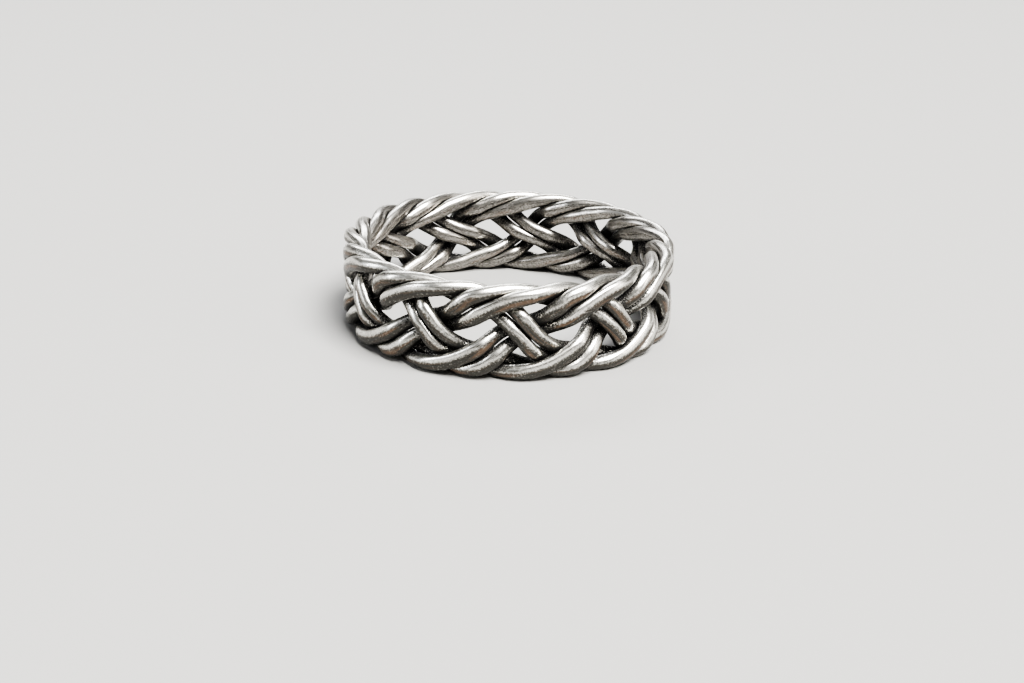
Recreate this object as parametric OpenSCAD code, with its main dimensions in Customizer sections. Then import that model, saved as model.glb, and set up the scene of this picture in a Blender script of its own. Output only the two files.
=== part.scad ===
// Braided band ring: two long wires, each closed on itself, plaited side by side.
// The band stands on its lower edge at z = 0, with the finger hole along Z.
// Millimetres and degrees. A run is the way of a wire from one edge to the other.

/* [Ring size] */
// Width of the finger hole
finger_d = 18; // [16:0.1:21]
// Height of the band from edge to edge
band_h = 5.9; // [5.6:0.1:7.4]
// Turn of the whole braid about the finger hole
start_angle = -58.9; // [-180:0.1:180]

/* [Wire] */
// Thickness of the wire where nothing presses it
wire_d = 0.9; // [0.7:0.01:0.96]
// Room left where two wires press each other flat
wire_gap = 0.04; // [0.03:0.01:0.08]

/* [Braid] */
// Arches that each wire makes along one edge, an odd number
arches = 11; // [7:2:13]

/* [Hidden] */

// Crossings that a run passes, counted with one half turn at each edge
strands = 4;
// Sides of the wire's section, sections along one rise and fall, and finer steps between them
sides = 10;
section_count = 36;
fine_count = 4;

arch_count = 2 * round((arches - 1) / 2) + 1;
ring_count = section_count * arch_count;
fine_steps = ring_count * fine_count;

// Slots that the wires lie in
lay_d = wire_d + wire_gap;
swing = lay_d / 2;
tuck = 0.156 * lay_d;
tuck_reach = 0.8 * pow(0.2, 0.25);
band_r = finger_d / 2 + wire_d / 2 + swing + tuck * tuck_reach;
peak = (band_h - wire_d) / 2;

// One run, as an angle and as a length round the band
run_angle = round(strands) * 360 / (2 * arch_count);
run_l = band_r * run_angle * PI / 180;
rise_angle = atan(PI * peak / run_l);

// Half the way between the two wires of a pair, along the band
pair_side = 1.07 * lay_d / (2 * sin(rise_angle));
pair_share = pair_side / run_l;
turn_share = 0.705;
wide_share = 0.36;

// How far a run leaves an even wave: steep where it shows, flat where it hides
step_h = 0.114 * peak;
slack_h = 0.094 * peak;
dip_h = 0.093 * lay_d;

// Changes between outside and inside in a run, the first wire's own
// Columns: place along the run, share of the pair's offset added, way it goes, share of the run it takes
changes = [
    [0.375, 0.5, -1, 0.2],
    [0.625, 0.5, 1, 0.2],
    [0.925, 1, -1, 0.3]
];
settled_share = 0.2;
nudge_share = 0.002;
// Stretch of a wire on both sides of a section that can't press it
own_share = 0.18;

function smooth(x) = let (t = min(max(x, 0), 1)) t * t * (3 - 2 * t);
function sum(list, i = 0) = i < len(list) ? list[i] + sum(list, i + 1) : 0;
function unit(v) = v / norm(v);
function sign_of(run) = abs(run) % 2 == 0 ? 1 : -1;

// Level of an even wave, -1 at the lower edge and 1 at the upper edge
function level(u) = -cos(180 * u);
function inner(u) = 1 - pow(level(u), 2);
function near_edge(u) = 1 - pow(level(u), 4);
function rising(u) = sign_of(floor(u));

// 1 where the wire lies outside what it crosses, -1 where it lies inside
function side_of(u) =
    let (run = floor(u - settled_share), v = u - run)
    sign_of(run) * (1 + 2 * sum([
        for (c = changes)
            c[2] * smooth((v - c[0] - c[1] * pair_share) / c[3] + 0.5)
    ]));

function offset_l(u) =
    pair_side * (1 + turn_share * pow(level(u), 2) + wide_share * rising(u) * cos(720 * u) * inner(u));
function turn_at(u) = run_angle * (u - offset_l(u) / run_l);
function height_at(u) =
    peak * level(u) - step_h * sin(720 * u) * inner(u)
    - slack_h * rising(u) * inner(u) * level(u)
    - dip_h * rising(u) * pow(level(u), 2) * near_edge(u);
function radius_at(u) = band_r + swing * side_of(u) - tuck * level(u) * near_edge(u);

function outward(u) = [sin(turn_at(u)), -cos(turn_at(u)), 0];
function centre(u) = radius_at(u) * outward(u) + [0, 0, height_at(u)];

// Directions from the wire's middle to the corners of its section
function corners(u) =
    let (
        along = unit(centre(u + nudge_share) - centre(u - nudge_share)),
        across = unit(outward(u) - along * (outward(u) * along)),
        up = cross(along, across)
    )
    [for (i = [0:sides - 1])
        let (a = 360 * (i + 0.5) / sides)
        cos(a) * across + sin(a) * up];

// The middle line in fine steps, and the same line turned over for the other wire
way = [for (k = [0:fine_steps - 1]) centre(2 * k * arch_count / fine_steps)];
way_over = [for (p = way) [-p[0], p[1], -p[2]]];
own_steps = own_share * section_count * fine_count / 2;

// Half way to the nearest stretch of wire, in each corner's direction
function room_at(u) =
    let (
        mid = centre(u),
        at = u * section_count * fine_count / 2,
        near = [
            for (k = [0:fine_steps - 1])
                let (gap = abs(k - at))
                if (min(gap, fine_steps - gap) > own_steps && norm(way[k] - mid) < 2.4 * lay_d)
                    way[k] - mid,
            for (p = way_over)
                if (norm(p - mid) < 2.4 * lay_d)
                    p - mid
        ]
    )
    [for (d = corners(u))
        min([wire_d, for (v = near) if (v * d > 0.01 * lay_d) v * v / (2 * (v * d))])];

// The plait repeats after each rise and fall, so one holds for all
rooms = [for (k = [0:2 * section_count - 1]) room_at(k / section_count)];

// Corners of one section, pressed in where another wire lies close
function section(j) =
    let (
        u = 2 * j / section_count,
        mid = centre(u),
        k = 2 * (j % section_count),
        before = rooms[(k + 2 * section_count - 1) % (2 * section_count)],
        dirs = corners(u)
    )
    [for (i = [0:sides - 1])
        mid + dirs[i] * min(wire_d / 2, min(before[i], rooms[k][i], rooms[k + 1][i]) - wire_gap)];

// A wire that rises and falls round the band until it meets its own start
module plaited_wire() {
    points = [for (j = [0:ring_count - 1]) each section(j)];
    faces = [
        for (j = [0:ring_count - 1], i = [0:sides - 1])
            let (
                a = j * sides,
                b = (j + 1) % ring_count * sides,
                next = (i + 1) % sides
            )
            each [[a + i, b + i, b + next], [a + i, b + next, a + next]]
    ];
    polyhedron(points = points, faces = faces, convexity = 12);
}

module first_wire() {
    color([0.78, 0.77, 0.74])
    translate([0, 0, band_h / 2])
    rotate([0, 0, start_angle])
    plaited_wire();
}

// The same wire, turned over about a line through the middle of the band
module second_wire() {
    color([0.74, 0.73, 0.70])
    translate([0, 0, band_h / 2])
    rotate([0, 0, start_angle])
    rotate([0, 180, 0])
    plaited_wire();
}

first_wire();
second_wire();
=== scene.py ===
import math

import bpy
import numpy as np
from mathutils import Matrix, Vector


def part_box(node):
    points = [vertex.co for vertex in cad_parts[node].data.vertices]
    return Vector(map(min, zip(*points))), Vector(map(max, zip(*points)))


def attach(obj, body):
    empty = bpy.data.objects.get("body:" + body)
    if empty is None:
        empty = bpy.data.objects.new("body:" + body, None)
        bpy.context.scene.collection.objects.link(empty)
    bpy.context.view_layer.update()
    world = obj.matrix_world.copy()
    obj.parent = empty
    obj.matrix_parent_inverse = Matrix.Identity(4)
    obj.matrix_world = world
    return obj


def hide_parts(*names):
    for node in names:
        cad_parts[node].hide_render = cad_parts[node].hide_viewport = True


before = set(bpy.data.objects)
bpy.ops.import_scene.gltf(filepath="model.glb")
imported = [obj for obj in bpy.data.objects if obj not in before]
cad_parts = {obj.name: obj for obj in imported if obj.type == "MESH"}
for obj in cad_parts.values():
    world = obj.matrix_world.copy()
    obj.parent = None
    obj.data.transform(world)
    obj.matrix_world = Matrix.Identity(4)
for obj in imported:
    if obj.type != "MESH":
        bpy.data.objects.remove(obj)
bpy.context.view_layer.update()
print("frame loaded with", len(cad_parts), "wires")

# Lengths are in metres. A run is the way of a wire from one edge of the band to the other,
# and u counts runs from the wire's first low point. The peak is the height of a wire's middle
# line at the upper edge, counted from mid height.

braid = {
    "fingerHole": 0.0180,
    "wireThickness": 0.00090,  # where nothing presses on the wire
    "slotGap": 0.00004,        # the slot that a wire lies in is this much wider than the wire
    "arches": 11,              # along each edge
    "strands": 4,
    "startAngle": -58.9,       # degrees, turns the whole braid
    "pairSpread": 1.07,        # slots from one wire of a pair to the other
    "turnSpread": 0.705,       # share added where a wire turns back at an edge
    "hiddenSpread": 0.36,      # share added at mid height where a pair lies inside, less outside
    "step": 0.114,             # of the peak: a run is steeper where it lies outside, flatter inside
    "slack": 0.094,            # of the peak: draws a rising run towards mid height, a falling one away
    "dip": 0.093,              # of a slot: lowers a rising run near the edges, lifts a falling one
    "tuck": 0.156,             # of a slot: the first wire lies further in near the upper edge
    "settled": 0.2,            # place along a run where the change of sides at the edge is over
    "ownStretch": 0.18,        # of a run: this near, a wire can't press on itself
}

# Where a run changes between outside and inside.
# Columns: place along the run, share of the pair's offset added, way it goes, share of the run
# that it takes
changes = [
    (0.375, 0.5, -1, 0.20),
    (0.625, 0.5, 1, 0.20),
    (0.925, 1.0, -1, 0.30),
]

drawnWire = {
    "ringsPerArch": 144,
    "sides": 36,
    "nudge": 0.002,            # of a run, to either side of a ring, for the wire's direction
    "swell": 0.17,             # share by which a wire widens between mid height and edge
    "diveLoss": 0.22,          # share by which a wire is leaner where it changes sides
    "unevenness": 0.011,       # share of the radius
    "seam": 0.000010,          # left between two wires that press on each other
    "softness": 0.000026,      # rounds the rim of a pressed face
    "easing": 8,               # times that the way to a pressed face is smoothed
    "fillShare": 0.9,          # of the room between the two wires of a pair
    "fillMost": 0.00017,
    "fillEnds": (0.85, 0.55),  # room between them, in radii: none of the fill, all of it
}

mostTuck = 0.8 * 0.2 ** 0.25   # the most that level * (1 - level ** 4) comes to
mostSwell = 0.385              # the most that edge * (1 - edge ** 2) comes to
turnOver = np.array([-1.0, 1.0, -1.0])  # half a turn about Y, which gives the second wire

lowest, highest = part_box("first_wire")
bandHeight = highest.z - lowest.z
midHeight = lowest.z + bandHeight / 2
wireRadius = braid["wireThickness"] / 2
slot = braid["wireThickness"] + braid["slotGap"]
swing = slot / 2
tuck = braid["tuck"] * slot
bandRadius = braid["fingerHole"] / 2 + wireRadius + swing + tuck * mostTuck
peak = (bandHeight - braid["wireThickness"]) / 2
runAngle = math.radians(braid["strands"] * 360 / (2 * braid["arches"]))
runLength = bandRadius * runAngle
pairSide = braid["pairSpread"] * slot / (2 * math.sin(math.atan(math.pi * peak / runLength)))
pairShare = pairSide / runLength


def unit(vectors):
    return vectors / np.linalg.norm(vectors, axis=-1, keepdims=True)


def smooth(x):
    t = np.clip(x, 0, 1)
    return t * t * (3 - 2 * t)


def between(value, none, full):
    # 0 at one end and 1 at the other, with a smooth way from end to end
    return smooth((value - none) / (full - none))


def signOf(run):
    return np.where(np.abs(run) % 2 == 0, 1.0, -1.0)


def sideOf(u):
    # 1 outside what the wire crosses, -1 inside
    run = np.floor(u - braid["settled"])
    v = u - run
    side = np.ones_like(u)
    for place, share, way, length in changes:
        side = side + 2 * way * smooth((v - place - share * pairShare) / length + 0.5)
    return side * signOf(run)


def centreLine(u):
    # the wire's middle line, and the outward direction at each of its points
    level = -np.cos(np.pi * u)
    inner = 1 - level ** 2
    nearEdge = 1 - level ** 4
    rising = signOf(np.floor(u))
    spread = (1 + braid["turnSpread"] * level ** 2
              + braid["hiddenSpread"] * rising * np.cos(4 * np.pi * u) * inner)
    turn = runAngle * (u - pairSide * spread / runLength)
    height = (peak * level
              - braid["step"] * peak * np.sin(4 * np.pi * u) * inner
              - braid["slack"] * peak * rising * inner * level
              - braid["dip"] * slot * rising * level ** 2 * nearEdge)
    radius = bandRadius + swing * sideOf(u) - tuck * level * nearEdge
    outward = np.stack([np.sin(turn), -np.cos(turn), np.zeros_like(turn)], 1)
    middle = radius[:, None] * outward
    middle[:, 2] = height
    return middle, outward


def wireFrame(u):
    # the wire's middle, and the outward and upward directions across it
    nudge = drawnWire["nudge"]
    middle, outward = centreLine(u)
    along = unit(centreLine(u + nudge)[0] - centreLine(u - nudge)[0])
    across = unit(outward - along * np.sum(outward * along, axis=1, keepdims=True))
    return middle, across, np.cross(along, across)


def roundDirections(across, up):
    sides = drawnWire["sides"]
    angle = 2 * math.pi * (np.arange(sides) + 0.5) / sides
    normal = (np.cos(angle)[None, :, None] * across[:, None]
              + np.sin(angle)[None, :, None] * up[:, None])
    return angle, normal


search = {
    "perRun": 120,             # points of the other wires that are tried in each run
    "nearby": 2.4,             # slots: wires further away don't press
    "ahead": 0.01,             # slots: points less far ahead than this don't press
    "nothing": 0.01,           # metres, the room where nothing lies ahead
}


def roomAround():
    # half way to the nearest wire, for each point round one rise and fall
    perRun = search["perRun"]
    total = 2 * perRun * braid["arches"]
    way = centreLine(np.arange(total) / perRun)[0]
    wayOver = way * turnOver
    u = np.arange(drawnWire["ringsPerArch"]) * 2 / drawnWire["ringsPerArch"]
    middle, across, up = wireFrame(u)
    normal = roundDirections(across, up)[1]
    room = np.zeros(normal.shape[:2])
    for ring in range(len(u)):
        apart = np.abs(np.arange(total) - u[ring] * perRun)
        other = np.minimum(apart, total - apart) > braid["ownStretch"] * perRun
        gap = np.concatenate([way[other], wayOver]) - middle[ring]
        gap = gap[np.linalg.norm(gap, axis=1) < search["nearby"] * slot]
        ahead = normal[ring] @ gap.T
        least = search["ahead"] * slot
        halfWay = np.sum(gap ** 2, axis=1)[None] / (2 * np.maximum(ahead, least))
        room[ring] = np.where(ahead > least, halfWay, search["nothing"]).min(axis=1)
    return room


def partnerSide(u, angle):
    # 1 where a wire faces the other wire of its pair, 0 on its far half
    rising = signOf(np.floor(u))
    return np.clip(rising[:, None] * np.sin(angle)[None, :], 0, 1)


# Waves that keep a wire drawn by hand from being quite round.
# Columns: how many along the whole wire, how many round it, start
waves = [
    (41, 2, 0.3),
    (67, 2, 1.9),
    (97, 3, 4.1),
    (149, 1, 2.2),
    (233, 3, 0.8),
]


def freeRadius(u, angle, distance, length):
    # a wire that nothing presses: a little uneven, fuller near the edges, leaner where it dives
    turn = 2 * math.pi * distance / length
    uneven = np.zeros((len(u), len(angle)))
    for count, lobes, start in waves:
        uneven += np.sin(count * turn[:, None] + lobes * angle[None, :] + start)
    radius = wireRadius * (1 - drawnWire["unevenness"] * (0.5 + uneven / len(waves)))
    edge = np.cos(np.pi * u) ** 2  # 0 at mid height, 1 at the edges
    fuller = edge * (1 - edge ** 2) / mostSwell
    radius = radius * (1 + drawnWire["swell"] * fuller[:, None] * np.sin(angle)[None, :] ** 2)
    dive = (1 - sideOf(u) ** 2) * (1 - edge ** 2)
    return radius * (1 - drawnWire["diveLoss"] * dive[:, None] * (1 - partnerSide(u, angle)))


def towardsPartner(u, angle, room):
    # fills part of the room between the two wires of a pair, away from the edges
    quarter = len(angle) // 4
    roomAbove = room[:, quarter - 1:quarter + 1].mean(axis=1)
    roomBelow = room[:, -quarter - 1:-quarter + 1].mean(axis=1)
    spare = np.where(signOf(np.floor(u)) > 0, roomAbove, roomBelow) - wireRadius
    spare = np.clip(spare, 0, None)
    fill = np.minimum(drawnWire["fillShare"] * spare, drawnWire["fillMost"])
    fill = fill * between(spare / wireRadius, *drawnWire["fillEnds"])
    fill = fill * (1 - np.cos(np.pi * u) ** 4)
    return fill[:, None] * partnerSide(u, angle) ** 3


def eased(radius, room):
    # rounds the way from a pressed face to the free wire
    limit = room - drawnWire["seam"] / 2
    for _ in range(drawnWire["easing"]):
        radius = np.minimum(radius, limit)
        for axis in (0, 1):
            before = np.roll(radius, 1, axis=axis)
            after = np.roll(radius, -1, axis=axis)
            radius = (before + 2 * radius + after) / 4
    return radius


dents = {
    "count": 170,
    "depth": 0.000009,
    "depthShares": (0.3, 1.0),
    "size": 0.00032,
    "sizeShares": (0.5, 1.4),
    "slimness": 2,             # times as long as wide
    "reach": 2.5,              # sizes from its middle, a dent has run out
    "seed": 5,
}


def dented(radius, angle, distance, length, rng):
    for _ in range(dents["count"]):
        ring = rng.integers(len(radius))
        around = rng.uniform(0, 2 * math.pi)
        size = dents["size"] * rng.uniform(*dents["sizeShares"])
        depth = dents["depth"] * rng.uniform(*dents["depthShares"])
        gap = np.abs(distance - distance[ring])
        near = np.minimum(gap, length - gap) < dents["reach"] * size
        turnGap = (angle - around + math.pi) % (2 * math.pi) - math.pi
        aside = turnGap[None, :] * wireRadius * dents["slimness"]
        radius[near] -= depth * np.exp(-(gap[near, None] / size) ** 2 - (aside / size) ** 2)
    return radius


def pressed(radius, room):
    # keeps a wire within its room, with a soft rim round each pressed face
    soft = drawnWire["softness"]
    limit = room - drawnWire["seam"] / 2
    rim = np.log1p(np.exp(-np.abs(radius - limit) / soft))
    return np.minimum(radius, limit) - soft * rim


def wireSkin(turnedOver, room):
    # rings of points round one wire, with their normals and their place along and around it
    count = drawnWire["ringsPerArch"] * braid["arches"]
    u = np.arange(count) * 2 / drawnWire["ringsPerArch"]
    middle, across, up = wireFrame(u)
    angle, normal = roundDirections(across, up)
    step = np.linalg.norm(np.roll(middle, -1, axis=0) - middle, axis=1)
    distance = np.concatenate([[0], np.cumsum(step)[:-1]])
    place = np.zeros((count, len(angle), 3))
    place[:, :, 0] = distance[:, None]
    place[:, :, 1] = angle[None, :] * wireRadius

    room = np.tile(room, (braid["arches"], 1))
    radius = freeRadius(u, angle, distance, step.sum())
    radius = eased(radius + towardsPartner(u, angle, room), room)
    rng = np.random.default_rng(dents["seed"] + int(turnedOver))
    radius = dented(radius, angle, distance, step.sum(), rng)
    radius = pressed(radius, room)
    points = middle[:, None] + radius[:, :, None] * normal

    turn = np.array(Matrix.Rotation(math.radians(braid["startAngle"]), 3, "Z"))
    if turnedOver:
        turn = turn @ np.diag(turnOver)
    lift = np.array([0, 0, midHeight])
    return {
        "points": points @ turn.T + lift,
        "normal": normal @ turn.T,
        "middle": middle @ turn.T + lift,
        "place": place,
        "step": float(step.mean()),
    }


# A pair of values says where a share starts and where it is full. Down is how far a face looks
# down: -1 straight up, 0 level, 1 straight down.
wear = {
    "rubbedOff": 0.4,                     # share of what stands past the rubbed faces
    "rubbedFrom": 0.00034,                # past the outermost middle line
    "polish": (-0.35, 0.75),              # radii past the middle lines furthest out, in, up and down
    # painted shade along the undersides of the wires
    "undersidePaintedShade": (-0.50, 0.12),           # down
    "undersideLow": (0.93, 0.73),         # down, where it fades out again
    "undersideOuter": (-0.0003, 0.0003),  # past the band's middle radius
    "undersideInner": 0.45,               # share of it on stretches that lie inside
    # painted copper reflection half way down the side of each wire
    "flankReflection": (-0.30, 0.05),               # down
    "flankLow": (0.68, 0.33),             # down, where it fades out again
    "flankOpen": (0.42, 0.08),            # share of the view that other wires close off
    "inward": (0, 1 / 1.4),               # how far a face looks towards the finger
    "grooveReach": 0.0019,                # how far away a wire still closes off a view
    "grooveStrength": 1.4,
}


def reachOf(points):
    # how far points lie from the axis of the finger hole
    return np.linalg.norm(points[..., :2], axis=-1)


def rubFlat(points):
    # the outer faces have been rubbed a little flat
    reach = reachOf(points)
    over = np.clip(reach - bandRadius - swing - wear["rubbedFrom"], 0, None)
    points[..., :2] *= (1 - wear["rubbedOff"] * over / reach)[..., None]


def polishOf(points):
    # 1 on the outermost and innermost faces and the two edges, which cloth and finger reach
    reach = reachOf(points)
    outside = reach - bandRadius - swing
    inside = bandRadius - swing - reach
    edge = np.abs(points[..., 2] - midHeight) - peak
    furthest = np.maximum(np.maximum(outside, inside), edge)
    return between(furthest / wireRadius, *wear["polish"])


def undersideShadeOf(normal, points):
    # painted shade: 1 along the underside of each wire, less where it lies inside
    down = -normal[..., 2]
    share = between(down, *wear["undersidePaintedShade"]) * between(down, *wear["undersideLow"])
    outer = between(reachOf(points) - bandRadius, *wear["undersideOuter"])
    least = wear["undersideInner"]
    return share * (least + (1 - least) * outer)


def flankReflectionOf(normal, groove):
    # where a painted copper reflection goes: 1 half way down the side of a wire, where no other wire
    # is near
    down = -normal[..., 2]
    share = between(down, *wear["flankReflection"]) * between(down, *wear["flankLow"])
    return share * between(groove, *wear["flankOpen"])


def inwardOf(normal, points):
    # 1 on the faces that look at the finger, where painted shade goes
    outward = np.sum(normal[..., :2] * points[..., :2], axis=-1) / reachOf(points)
    return between(-outward, *wear["inward"])


def groovesOf(skins):
    # how much of each point's view the other wires close off, 0 to 1
    middles = np.concatenate([skin["middle"] for skin in skins])
    count = len(skins[0]["middle"])
    index = np.arange(len(middles))
    ownStretch = drawnWire["ringsPerArch"] * braid["ownStretch"] / 2
    closed = []
    for which, skin in enumerate(skins):
        share = np.zeros(skin["points"].shape[:2])
        sameWire = (index // count) == which
        for ring in range(count):
            away = np.linalg.norm(middles - skin["middle"][ring], axis=1)
            rings = np.abs(index - which * count - ring)
            ownPart = sameWire & (np.minimum(rings, count - rings) < ownStretch)
            near = (away < wear["grooveReach"]) & ~ownPart
            if not near.any():
                continue
            gap = middles[near][None] - skin["points"][ring][:, None]
            length = np.linalg.norm(gap, axis=2)
            facing = np.sum(gap * skin["normal"][ring][:, None], axis=2) / length
            cover = 2 * wireRadius * skin["step"] / (math.pi * np.maximum(length, wireRadius) ** 2)
            seen = (np.clip(facing, 0, 1) * cover).sum(axis=1)
            share[ring] = 1 - np.exp(-wear["grooveStrength"] * seen)
        closed.append(share)
    return closed


def wirePiece(name, skin, groove):
    points = skin["points"]
    normal = skin["normal"]
    count, sides = points.shape[:2]
    ring = np.arange(count)[:, None] * sides
    nextRing = (np.arange(count)[:, None] + 1) % count * sides
    side = np.arange(sides)[None, :]
    nextSide = (side + 1) % sides
    faces = np.stack([ring + side, nextRing + side, nextRing + nextSide, ring + nextSide], axis=2)
    mesh = bpy.data.meshes.new(name)
    mesh.from_pydata(points.reshape(-1, 3).tolist(), [], faces.reshape(-1, 4).tolist())
    mesh.update()
    mesh.shade_smooth()
    finish = {
        "groove": groove,
        "polish": polishOf(points),
        # painted shade along the undersides
        "undersidePaintedShade": undersideShadeOf(normal, points),
        # faces that are given painted shade
        "inward": inwardOf(normal, points),
        # where a painted copper reflection goes
        "flankReflection": flankReflectionOf(normal, groove),
    }
    for title, values in finish.items():
        share = mesh.attributes.new(title, "FLOAT", "POINT")
        share.data.foreach_set("value", values.astype(np.float32).ravel())
    wirePlace = mesh.attributes.new("wirePlace", "FLOAT_VECTOR", "POINT")
    wirePlace.data.foreach_set("vector", skin["place"].astype(np.float32).ravel())
    piece = bpy.data.objects.new(name, mesh)
    bpy.context.scene.collection.objects.link(piece)
    return piece


silverLook = {
    "silver": (0.82, 0.805, 0.755),
    "dullSilver": (0.66, 0.645, 0.60),
    # painted shade on the faces that look at the finger
    "innerShadedSilver": (0.36, 0.34, 0.315),   # on the faces that look at the finger
    # tarnish for the film, and painted shade along the undersides
    "tarnishAndUnderShade": (0.042, 0.040, 0.036),
    # painted copper reflection on the flanks
    "paintedCopperReflection": (0.132, 0.086, 0.058),
    "oxide": (0.028, 0.027, 0.026),
    # size, detail
    "patches": (0.0008, 3.0),
    "grains": (0.00011, 2.0),
    "pits": (0.00012, 1.0),
    "sparks": (0.000085, 1.0),            # bright specks left in the oxide
    # width, length along the wire, detail
    "scratches": (0.00006, 0.0020, 3.0),
    "bands": (0.00022, 0.0022, 2.0),
    # streaks of the painted copper reflection
    "reflectionStreaks": (0.0005, 0.0032, 1.0),
    # how much each of them adds
    "dirtByPatch": 0.40,
    "dirtByGrain": 0.90,
    "dirtByPolish": -0.30,
    "undersideByGrain": 1.5,
    "undersideByBand": 0.6,
    "shineByPatch": 0.8,
    # values at which each starts and is full
    "filmEnds": (0.08, 0.62),
    "oxideEnds": (0.48, 0.64),
    "pitEnds": (0.55, 0.66),
    "sparkEnds": (0.55, 0.66),
    "undersideEnds": (0.0, 0.95),
    "copperEnds": (0.50, 0.62),
    "shineEnds": (0.25, 0.75),
    "scratchEnds": (0.40, 0.70),
    # the most that shows of each
    "filmShare": 0.85,
    "openPits": 0.35,                     # where there is no film of tarnish
    "sparkShare": 0.95,
    "undersideShare": 0.95,
    "innerShare": 0.8,
    # the clean metal's roughness, and what the others add to it
    "roughness": 0.27,
    "scratchRoughness": 0.04,
    "tarnishRoughness": 0.05,
    "oxideRoughness": 0.30,
    "oxideMetallic": 0.4,
    # the two bumps: along the brushing, and of the grain
    "brushStrength": 0.08,
    "brushDepth": 0.000006,
    "grainStrength": 0.06,
    "tarnishStrength": 0.75,              # added where the tarnish is full
    "grainDepth": 0.000025,
}


class NodeBench:
    # adds nodes to one material or world and joins them

    def __init__(self, owner):
        owner.use_nodes = True
        self.tree = owner.node_tree
        self.tree.nodes.clear()

    def put(self, kind, **settings):
        node = self.tree.nodes.new(kind)
        for name, value in settings.items():
            setattr(node, name, value)
        return node

    def feed(self, socket, source):
        if isinstance(source, bpy.types.NodeSocket):
            self.tree.links.new(source, socket)
        else:
            socket.default_value = source

    def share(self, title):
        return self.put("ShaderNodeAttribute", attribute_name=title).outputs["Fac"]

    def reckon(self, operation, first, second, third=0.0):
        # one step of arithmetic, of sockets or numbers
        node = self.put("ShaderNodeMath", operation=operation)
        for socket, source in zip(node.inputs, (first, second, third)):
            self.feed(socket, source)
        return node.outputs[0]

    def add(self, value, source, amount):
        # the value and so much of the source
        return self.reckon("MULTIPLY_ADD", source, amount, value)

    def stir(self, value, source, amount):
        # adds what a noise or share is more or less than a half
        return self.add(value, self.reckon("SUBTRACT", source, 0.5), amount)

    def ramp(self, value, none, full):
        node = self.put("ShaderNodeMapRange", interpolation_type="SMOOTHSTEP")
        for socket, source in zip(node.inputs, (value, none, full)):
            self.feed(socket, source)
        return node.outputs[0]

    def blend(self, share, first, second):
        node = self.put("ShaderNodeMix", data_type="RGBA")
        self.feed(node.inputs[0], share)
        for socket, colour in zip(node.inputs[6:8], (first, second)):
            self.feed(socket, (*colour, 1) if isinstance(colour, tuple) else colour)
        return node.outputs[2]

    def noise(self, place, sizes, detail):
        # sizes are how long the pattern is along each of the three directions of the place
        mapping = self.put("ShaderNodeMapping")
        self.feed(mapping.inputs["Vector"], place)
        mapping.inputs["Scale"].default_value = [1 / size for size in sizes]
        node = self.put("ShaderNodeTexNoise")
        self.feed(node.inputs["Vector"], mapping.outputs[0])
        node.inputs["Scale"].default_value = 1.0
        node.inputs["Detail"].default_value = detail
        return node.outputs["Fac"]

    def grain(self, place, size, detail):
        return self.noise(place, (size, size, size), detail)

    def streak(self, place, width, length, detail):
        return self.noise(place, (length, width, width), detail)

    def bump(self, height, strength, depth):
        node = self.put("ShaderNodeBump")
        self.feed(node.inputs["Strength"], strength)
        node.inputs["Distance"].default_value = depth
        self.feed(node.inputs["Height"], height)
        return node

    def finish(self, kind, shader):
        output = self.put(kind)
        self.feed(output.inputs["Surface"], shader.outputs[0])


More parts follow.
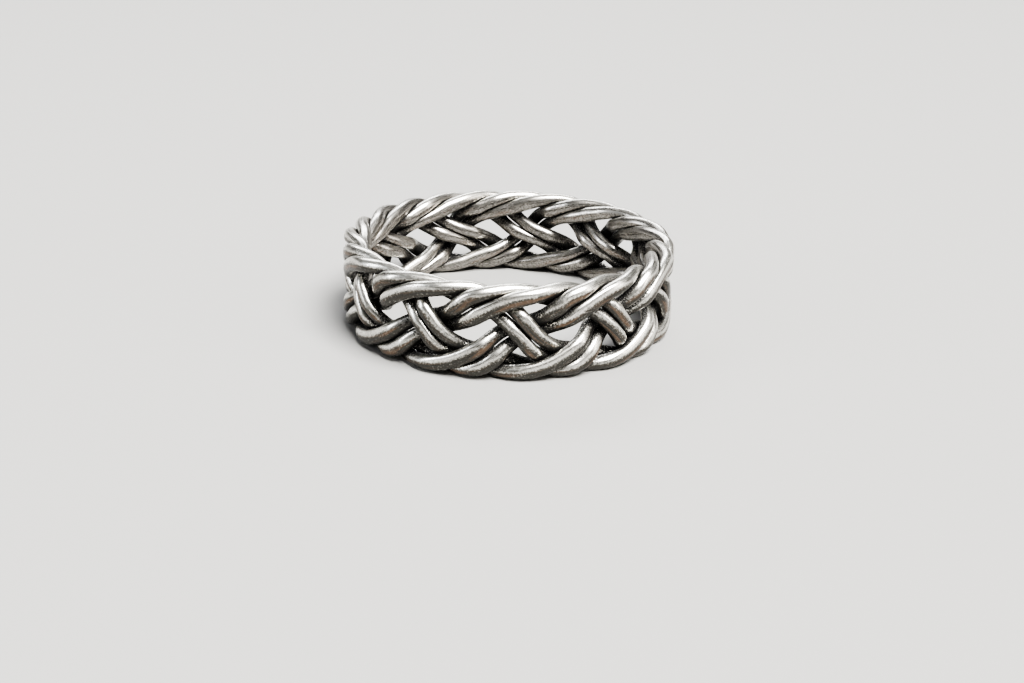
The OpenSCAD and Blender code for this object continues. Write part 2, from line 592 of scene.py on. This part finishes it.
def oxidisedSilver(name, look):
    material = bpy.data.materials.new(name)
    bench = NodeBench(material)
    solid = bench.put("ShaderNodeTexCoord").outputs["Object"]
    along = bench.put("ShaderNodeAttribute", attribute_name="wirePlace").outputs["Vector"]
    patches = bench.grain(solid, *look["patches"])
    grains = bench.grain(solid, *look["grains"])
    scratches = bench.streak(along, *look["scratches"])
    bands = bench.streak(along, *look["bands"])
    reflectionStreaks = bench.streak(along, *look["reflectionStreaks"])
    sparks = bench.ramp(bench.grain(solid, *look["sparks"]), *look["sparkEnds"])
    dull = bench.reckon("SUBTRACT", 1.0, bench.reckon("MULTIPLY", sparks, look["sparkShare"]))

    # black oxide sits in the grooves, with an uneven, grainy edge, and tarnish thins out round it
    dirt = bench.stir(bench.share("groove"), patches, look["dirtByPatch"])
    dirt = bench.stir(dirt, grains, look["dirtByGrain"])
    dirt = bench.stir(dirt, bench.share("polish"), look["dirtByPolish"])
    film = bench.ramp(dirt, *look["filmEnds"])
    pits = bench.ramp(bench.grain(solid, *look["pits"]), *look["pitEnds"])
    pits = bench.reckon("MULTIPLY", pits, bench.add(look["openPits"], film, 1 - look["openPits"]))
    oxide = bench.reckon("MAXIMUM", bench.ramp(dirt, *look["oxideEnds"]), pits)
    oxide = bench.reckon("MULTIPLY", oxide, dull)
    film = bench.reckon("MULTIPLY", film, dull)

    # painted shade along the undersides, with painted copper reflection in streaks on the flanks
    shadeUnder = bench.stir(bench.share("undersidePaintedShade"), grains, look["undersideByGrain"])
    shadeUnder = bench.stir(shadeUnder, bands, look["undersideByBand"])
    shadeUnder = bench.ramp(shadeUnder, *look["undersideEnds"])
    shadeUnder = bench.reckon("MULTIPLY", shadeUnder, look["undersideShare"])
    copperReflection = bench.reckon("MULTIPLY", bench.ramp(reflectionStreaks, *look["copperEnds"]), bench.share("flankReflection"))
    tarnishAndUnderShade = bench.blend(copperReflection, look["tarnishAndUnderShade"], look["paintedCopperReflection"])

    # satin metal, brushed along the wire
    shine = bench.ramp(bench.stir(scratches, patches, look["shineByPatch"]), *look["shineEnds"])
    metal = bench.blend(shine, look["dullSilver"], look["silver"])
    # painted shade on the faces that look at the finger
    inner = bench.reckon("MULTIPLY", bench.share("inward"), look["innerShare"])
    metal = bench.blend(inner, metal, look["innerShadedSilver"])
    colour = bench.blend(bench.reckon("MULTIPLY", film, look["filmShare"]), metal, tarnishAndUnderShade)
    # painted shade along the undersides
    colour = bench.blend(shadeUnder, colour, tarnishAndUnderShade)
    colour = bench.blend(oxide, colour, look["oxide"])
    scratched = bench.ramp(scratches, *look["scratchEnds"])
    roughness = bench.add(look["roughness"], scratched, look["scratchRoughness"])
    roughness = bench.add(roughness, film, look["tarnishRoughness"])
    roughness = bench.add(roughness, oxide, look["oxideRoughness"])

    brushed = bench.bump(scratches, look["brushStrength"], look["brushDepth"])
    grainStrength = bench.add(look["grainStrength"], film, look["tarnishStrength"])
    rough = bench.bump(grains, grainStrength, look["grainDepth"])
    bench.feed(rough.inputs["Normal"], brushed.outputs[0])

    shader = bench.put("ShaderNodeBsdfPrincipled")
    bench.feed(shader.inputs["Base Color"], colour)
    bench.feed(shader.inputs["Metallic"], bench.add(1.0, oxide, look["oxideMetallic"] - 1))
    bench.feed(shader.inputs["Roughness"], roughness)
    bench.feed(shader.inputs["Normal"], rough.outputs[0])
    bench.finish("ShaderNodeOutputMaterial", shader)
    return material


def makeWires():
    room = roomAround()
    print("least room round a wire", round(float(room.min()) * 1000, 3), "mm")
    skins = [wireSkin(turnedOver, room) for turnedOver in (False, True)]
    for name, skin, groove in zip(("first_wire", "second_wire"), skins, groovesOf(skins)):
        rubFlat(skin["points"])
        piece = wirePiece("polished_" + name, skin, groove)
        piece.data.materials.append(oxidisedSilver(name + "_silver", silverLook))
        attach(piece, "root")
        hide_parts(name)
        print(piece.name, "made with", len(piece.data.polygons), "faces")


stageLook = {
    "floorColour": (0.27, 0.268, 0.263),
    "floorRoughness": 0.7,
    "floorSize": 8.0,
    "contrast": "AgX - High Contrast",
    "skyTop": (0.30, 0.305, 0.31),
    "skyEdge": (0.085, 0.070, 0.058),
    "skyEnds": (0.05, 0.8),      # heights between which the edge gives way to the top
    "haze": (2.4, 2.385, 2.345),  # where floor and sky meet, as pale as the floor
    "hazeEnds": (0.09, 0.15),    # heights between which the haze gives way to the sky
    "skyStrength": 0.5,
    # place (each looks at the ring), width, depth, watts, colour
    "lamps": {
        "key_lamp": ((0.60, -0.58, 1.58), 1.00, 1.00, 140, (1.0, 0.985, 0.955)),
        "back_lamp": ((-0.32, 1.60, 1.28), 1.60, 0.48, 20, (0.98, 0.985, 1.0)),
        "left_lamp": ((-1.86, -0.50, 0.82), 0.40, 1.12, 16, (0.93, 0.96, 1.0)),
        "right_lamp": ((2.00, -0.48, 0.72), 0.48, 1.28, 11, (1.0, 0.95, 0.88)),
    },
}


def layFloor():
    half = stageLook["floorSize"] / 2
    corners = [(x * half, y * half, lowest.z) for x, y in ((-1, -1), (1, -1), (1, 1), (-1, 1))]
    mesh = bpy.data.meshes.new("floor")
    mesh.from_pydata(corners, [], [(0, 1, 2, 3)])
    floor = bpy.data.objects.new("floor", mesh)
    bpy.context.scene.collection.objects.link(floor)

    material = bpy.data.materials.new("pale_floor")
    bench = NodeBench(material)
    shader = bench.put("ShaderNodeBsdfPrincipled")
    shader.inputs["Base Color"].default_value = (*stageLook["floorColour"], 1)
    shader.inputs["Roughness"].default_value = stageLook["floorRoughness"]
    bench.finish("ShaderNodeOutputMaterial", shader)
    mesh.materials.append(material)


def makeSky():
    world = bpy.data.worlds.new("studio")
    bpy.context.scene.world = world
    bench = NodeBench(world)
    direction = bench.put("ShaderNodeSeparateXYZ")
    bench.feed(direction.inputs[0], bench.put("ShaderNodeTexCoord").outputs["Generated"])
    height = direction.outputs[2]
    higher = bench.ramp(height, *stageLook["skyEnds"])
    colour = bench.blend(higher, stageLook["skyEdge"], stageLook["skyTop"])
    colour = bench.blend(bench.ramp(height, *stageLook["hazeEnds"]), stageLook["haze"], colour)
    sky = bench.put("ShaderNodeBackground")
    bench.feed(sky.inputs["Color"], colour)
    sky.inputs["Strength"].default_value = stageLook["skyStrength"]
    bench.finish("ShaderNodeOutputWorld", sky)


def hangLamps():
    target = Vector((0, 0, midHeight))
    for name, (place, width, depth, watts, colour) in stageLook["lamps"].items():
        lamp = bpy.data.lights.new(name, "AREA")
        lamp.shape = "RECTANGLE"
        lamp.size = width
        lamp.size_y = depth
        lamp.energy = watts
        lamp.color = colour
        holder = bpy.data.objects.new(name, lamp)
        bpy.context.scene.collection.objects.link(holder)
        holder.location = place
        holder.rotation_euler = (target - Vector(place)).to_track_quat("-Z", "Y").to_euler()


view = {
    "imageWidth": 1024,
    "imageHeight": 683,
    "rise": 19.58,             # degrees above the floor
    "distance": 0.080,
    "focalPixels": 1200.4,
    "ringAt": (506.4, 274.7),  # pixel where the middle of the ring falls
    "roll": -1.47,             # degrees
    "sensor": 36.0,            # millimetres
    "clipStart": 0.004,
    "clipEnd": 10,
}


def setCamera():
    rise = math.radians(view["rise"])
    aim = Vector((0, 0, midHeight))
    back = Vector((0, -math.cos(rise), math.sin(rise)))
    forward = -back
    right = Vector((1, 0, 0))
    up = right.cross(forward)

    # turned until the middle of the ring falls on its pixel
    sideways = (view["ringAt"][0] - view["imageWidth"] / 2) / view["focalPixels"]
    upwards = -(view["ringAt"][1] - view["imageHeight"] / 2) / view["focalPixels"]
    pan = Matrix.Rotation(math.atan2(sideways, 1), 3, up)
    forward = pan @ forward
    right = pan @ right
    tilt = Matrix.Rotation(-math.atan2(upwards, math.hypot(1, sideways)), 3, right)
    forward = tilt @ forward
    up = tilt @ up
    roll = Matrix.Rotation(math.radians(view["roll"]), 3, forward)
    turn = Matrix((roll @ right, roll @ up, -forward)).transposed().to_4x4()

    data = bpy.data.cameras.new("camera")
    data.sensor_width = view["sensor"]
    data.lens = view["focalPixels"] / view["imageWidth"] * view["sensor"]
    data.clip_start = view["clipStart"]
    data.clip_end = view["clipEnd"]
    camera = bpy.data.objects.new("camera", data)
    bpy.context.scene.collection.objects.link(camera)
    camera.matrix_world = Matrix.Translation(aim + back * view["distance"]) @ turn
    bpy.context.scene.camera = camera


makeWires()
layFloor()
makeSky()
hangLamps()
bpy.context.scene.view_settings.look = stageLook["contrast"]
print("floor, sky and lamps set")
setCamera()
print("camera set")

bpy.context.view_layer.update()
